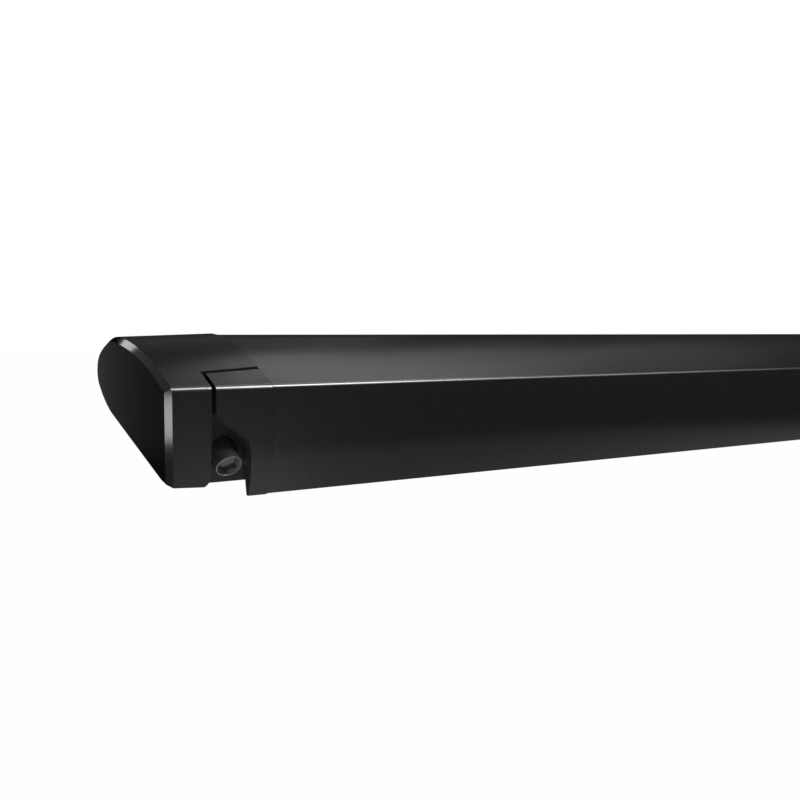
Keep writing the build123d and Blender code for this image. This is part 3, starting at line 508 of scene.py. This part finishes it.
def makeRoll():
    steps = canopy["turns"] * canopy["stepsInTurn"]
    growth = (canopy["outerRadius"] - canopy["innerRadius"]) / steps
    places = []
    for step in range(steps + 1):
        turn = clothRise + math.pi / 2 - 2 * math.pi * (steps - step) / canopy["stepsInTurn"]
        radius = canopy["innerRadius"] + growth * step
        places.append(spot(
            canopy["inset"], canopy["rollerDepth"] + radius * math.cos(turn),
            canopy["rollerHeight"] + radius * math.sin(turn),
        ))
    piece, length = makeCloth("canopyRoll", "roller", places)
    thicken(piece)
    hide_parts("canopy_roll")
    return length


def makeStrip():
    start, rows = canopy["stripStart"], canopy["rows"]
    places = []
    for row in range(rows + 1):
        reach = start + (clothReach - start) * row / rows
        places.append(spot(
            canopy["inset"], canopy["grooveDepth"] + reach * math.cos(clothRise),
            canopy["grooveHeight"] + reach * math.sin(clothRise),
        ))
    piece, _ = makeCloth("canopyStrip", "cassette", places)
    # the front edge goes out with the rail and the back edge stays at the roll
    drawn = piece.vertex_groups.new(name="drawnOut")
    low = min(vert.co.y for vert in piece.data.vertices)
    high = max(vert.co.y for vert in piece.data.vertices)
    for vert in piece.data.vertices:
        drawn.add([vert.index], (high - vert.co.y) / (high - low), "REPLACE")
    hook = piece.modifiers.new("railPull", "HOOK")
    hook.object = frame["bodies"]["front_rail"]
    hook.vertex_group = "drawnOut"
    hook.falloff_type = "NONE"
    hook.matrix_inverse = Matrix.Identity(4)
    thicken(piece)
    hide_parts("canopy_front")
    return piece


def makeBead():
    # a round cord in the groove with the welded flap that comes out of its mouth
    points = []
    sweep = math.radians(360 - 2 * bead["mouthAngle"])
    for step in range(bead["steps"] + 1):
        turn = math.radians(bead["mouthAngle"]) + sweep * step / bead["steps"]
        points.append((bead["radius"] * math.cos(turn), bead["radius"] * math.sin(turn)))
    points += zip(bead["flapReach"], bead["flapRise"])
    shape = bmesh.new()
    corners = [
        shape.verts.new(spot(
            canopy["inset"], canopy["grooveDepth"] + depth, canopy["grooveHeight"] + height
        ))
        for depth, height in points
    ]
    shape.faces.new(corners)
    drawAcross(shape, bmesh.ops.extrude_face_region(shape, geom=list(shape.faces)))
    shadeBy(shape, bead["smoothAngle"])
    piece = newPiece("canopyBead", shape, "front_rail", "cloth")
    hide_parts("canopy_bead")
    return piece


rolledLength = makeRoll()
strip = makeStrip()
beadPiece = makeBead()
print("canopy made, rolled length", round(rolledLength, 3))

# Arm springs: a close coil in each upper arm

armSpring = {
    "wire": 1.1, "coil": 7.8, "turns": 90, "stepsInTurn": 14, "sides": 6, "smoothAngle": 75,
}


def makeSpring(side):
    low, high = (Vector(corner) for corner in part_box(f"{side}_arm_spring"))
    middle = (low + high) / 2
    wire, coil = armSpring["wire"] * mm, armSpring["coil"] * mm
    length = high.x - low.x - 4 * wire
    steps = armSpring["turns"] * armSpring["stepsInTurn"]
    shape = bmesh.new()
    ring = bmesh.ops.create_circle(
        shape, cap_ends=True, segments=armSpring["sides"], radius=wire
    )
    start = Matrix.Translation((low.x + 2 * wire, middle.y, middle.z + coil))
    upright = Matrix.Rotation(math.pi / 2, 4, "X")
    bmesh.ops.transform(shape, verts=ring["verts"], matrix=start @ upright)
    bmesh.ops.spin(
        shape, geom=list(shape.faces), cent=(0, middle.y, middle.z), axis=(1, 0, 0),
        dvec=(length / steps, 0, 0), angle=2 * math.pi * armSpring["turns"], steps=steps,
        use_duplicate=False,
    )
    bmesh.ops.recalc_face_normals(shape, faces=shape.faces)
    shadeBy(shape, armSpring["smoothAngle"])
    piece = newPiece(f"{side}ArmSpring", shape, f"{side}_upper_arm", "steel")
    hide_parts(f"{side}_arm_spring")


for side in ("left", "right"):
    makeSpring(side)
print("arm springs made")

# Studio: a pale floor far below, as under a roof awning, dark flags round the object and soft lamps

studio = {
    "floorDrop": 2.95, "floorSize": 400, "floorShade": 0.86, "floorRoughness": 0.9,
    "floorGlow": 0.985, "white": 1.0, "fill": 0.5, "mirrored": 0.75,
    "flagAway": 6.0, "flagShift": -0.5, "flagTop": 4.5, "flagGap": 0.02, "flagShade": 0.012,
}


def seenRays(tree):
    # one for what the camera sees, and a share of it for what gloss and glass show
    path = addNode(tree, "ShaderNodeLightPath")
    most = addNode(tree, "ShaderNodeMath", operation="MAXIMUM")
    join(tree, path, "Is Glossy Ray", most, 0)
    join(tree, path, "Is Transmission Ray", most, 1)
    share = addNode(tree, "ShaderNodeMath", operation="MULTIPLY")
    share.inputs[1].default_value = studio["mirrored"]
    join(tree, most, "Value", share, 0)
    both = addNode(tree, "ShaderNodeMath", operation="MAXIMUM")
    join(tree, path, "Is Camera Ray", both, 0)
    join(tree, share, "Value", both, 1)
    return both, "Value"


def makeRoom():
    world = bpy.data.worlds.new("studioRoom")
    world.use_nodes = True
    bpy.context.scene.world = world
    tree = world.node_tree
    background = tree.nodes["Background"]
    background.inputs["Color"].default_value = (1, 1, 1, 1)
    level = addNode(
        tree, "ShaderNodeMapRange", {"To Min": studio["fill"], "To Max": studio["white"]}
    )
    source, output = seenRays(tree)
    join(tree, source, output, level, "Value")
    join(tree, level, "Result", background, "Strength")


def stagePiece(name, shape, material):
    mesh = bpy.data.meshes.new(name)
    shape.to_mesh(mesh)
    shape.free()
    mesh.materials.append(material)
    piece = bpy.data.objects.new(name, mesh)
    bpy.context.scene.collection.objects.link(piece)
    return piece


def makeFloor():
    shape = bmesh.new()
    bmesh.ops.create_grid(shape, x_segments=1, y_segments=1, size=studio["floorSize"])
    bmesh.ops.translate(shape, verts=shape.verts, vec=(0, 0, -studio["floorDrop"]))
    material, tree, shader = newTree("paleFloor")
    shade = studio["floorShade"]
    shader.inputs["Base Color"].default_value = (shade, shade, shade, 1)
    shader.inputs["Roughness"].default_value = studio["floorRoughness"]
    glow = addNode(tree, "ShaderNodeEmission", {"Strength": studio["white"]})
    mix = addNode(tree, "ShaderNodeMixShader")
    source, output = seenRays(tree)
    share = addNode(tree, "ShaderNodeMath", operation="MULTIPLY")
    share.inputs[1].default_value = studio["floorGlow"]
    join(tree, source, output, share, 0)
    join(tree, share, "Value", mix, "Fac")
    join(tree, shader, "BSDF", mix, 1)
    join(tree, glow, "Emission", mix, 2)
    join(tree, mix, "Shader", tree.nodes["Material Output"], "Surface")
    stagePiece("studioFloor", shape, material)


def makeFlags():
    # black cards above and on four sides: the camera looks past them, but gloss reflects them
    material, tree, shader = newTree("blackCard")
    shade = studio["flagShade"]
    shader.inputs["Base Color"].default_value = (shade, shade, shade, 1)
    shader.inputs["Roughness"].default_value = 1
    shader.inputs["Specular IOR Level"].default_value = 0
    away, top = studio["flagAway"], studio["flagTop"]
    bottom = studio["flagGap"] - studio["floorDrop"]
    middle = (studio["flagShift"], 0, (top + bottom) / 2)
    shape = bmesh.new()
    bmesh.ops.create_cube(shape, size=1)
    bmesh.ops.scale(shape, verts=shape.verts, vec=(2 * away, 2 * away, top - bottom))
    bmesh.ops.translate(shape, verts=shape.verts, vec=middle)
    underside = min(shape.faces, key=lambda face: face.calc_center_median().z)
    bmesh.ops.delete(shape, geom=[underside], context="FACES_ONLY")
    flags = stagePiece("studioFlags", shape, material)
    flags.visible_camera = False


def makeLamp(name, look):
    lamp = bpy.data.lights.new(name, "AREA")
    lamp.shape = "RECTANGLE"
    lamp.size, lamp.size_y = look["size"]
    lamp.energy = look["power"]
    carrier = bpy.data.objects.new(name, lamp)
    bpy.context.scene.collection.objects.link(carrier)
    carrier.location = look["place"]
    aim = Vector(look["target"]) - Vector(look["place"])
    carrier.rotation_euler = aim.to_track_quat("-Z", "Y").to_euler()
    carrier.visible_glossy = look.get("reflected", True)
    carrier.visible_camera = False


lamps = {
    "frontSoftbox": {
        "place": (-0.62, -0.87, 1.14), "target": (-1.3, -0.187, -0.018),
        "size": (0.6, 0.6), "power": 26,
    },
    "frontMidSoftbox": {
        "place": (0.15, -0.75, 0.9), "target": (-0.9, -0.187, -0.018),
        "size": (0.6, 0.5), "power": 3,
    },
    "frontFarSoftbox": {
        "place": (1.0, -0.54, 0.6), "target": (-0.3, -0.187, -0.018),
        "size": (0.5, 0.4), "power": 0.15,
    },
    "mainSoftbox": {
        "place": (0.83, 1.45, 3.1), "target": (-1.3, -0.15, 0),
        "size": (1.8, 0.75), "power": 17.5,
    },
    "midSoftbox": {
        "place": (1.05, 1.4, 2.2), "target": (-0.9, -0.15, 0),
        "size": (0.9, 0.6), "power": 1.3,
    },
    "rightSoftbox": {
        "place": (2.27, 1.4, 2.35), "target": (-0.6, -0.1, 0),
        "size": (1.0, 1.0), "power": 1.2,
    },
    "rearSoftbox": {
        "place": (0, 3.4, 1.9), "target": (-1.45, -0.1, 0),
        "size": (2.4, 1.0), "power": 1.4,
    },
    "lowFill": {
        "place": (-1.2, -2.0, -2.2), "target": (-1.0, -0.15, 0),
        "size": (2, 1.2), "power": 28, "reflected": False,
    },
    "frontFill": {
        "place": (-1.2, -3.6, 0.6), "target": (-1.2, -0.15, 0),
        "size": (2, 2), "power": 18, "reflected": False,
    },
    "rearFill": {
        "place": (0, 4.0, 0.1), "target": (0, 0, 0),
        "size": (3, 1.5), "power": 150, "reflected": False,
    },
    "rightFill": {
        "place": (5.0, 0.4, 0), "target": (1.5, -0.05, 0),
        "size": (1.5, 1.5), "power": 90, "reflected": False,
    },
    "capGlow": {
        "place": (-1.48, -0.25, -0.17), "target": (-1.46, -0.187, -0.1),
        "size": (0.09, 0.09), "power": 0.27, "reflected": False,
    },
    "recessFill": {
        "place": (-1.455, -0.28, -0.17), "target": (-1.44, -0.17, -0.085),
        "size": (0.09, 0.09), "power": 0.17, "reflected": False,
    },
    "leftCard": {
        "place": (-1.967, -0.36, -0.085), "target": (-1.497, -0.185, -0.055),
        "size": (0.1, 0.06), "power": 0.15,
    },
    "upperLeftCard": {
        "place": (-2.44, 1.47, 1.6), "target": (-1.497, -0.1, 0.01),
        "size": (1.0, 0.8), "power": 0.65,
    },
    "rearCard": {
        "place": (-1.545, 0.25, 0), "target": (-1.515, -0.1, 0),
        "size": (0.06, 0.25), "power": 0.03,
    },
    "rearLeftSoftbox": {
        "place": (-1.9, 1.57, 1.11), "target": (-1.47, -0.09, 0.02),
        "size": (0.24, 0.33), "power": 0.8,
    },
}
makeRoom()
makeFloor()
makeFlags()
for name, look in lamps.items():
    makeLamp(name, look)
bpy.context.scene.view_settings.view_transform = "Standard"

# Camera: level, 45 mm on a 36 mm sensor, in front of the left end and just above the roof line

cameraView = {
    "place": (-1.8115, -0.9864, 0.0288), "forward": (0.5647, 0.8226, -0.0669),
    "lens": 45, "sensor": 36, "clip": (0.01, 200),
}


def makeCamera():
    lens = bpy.data.cameras.new("photographView")
    lens.lens = cameraView["lens"]
    lens.sensor_width = cameraView["sensor"]
    lens.clip_start, lens.clip_end = cameraView["clip"]
    camera = bpy.data.objects.new("photographView", lens)
    bpy.context.scene.collection.objects.link(camera)
    camera.location = cameraView["place"]
    camera.rotation_euler = Vector(cameraView["forward"]).to_track_quat("-Z", "Y").to_euler()
    bpy.context.scene.camera = camera


makeCamera()
print("room, lamps and camera made")

bpy.context.view_layer.update()
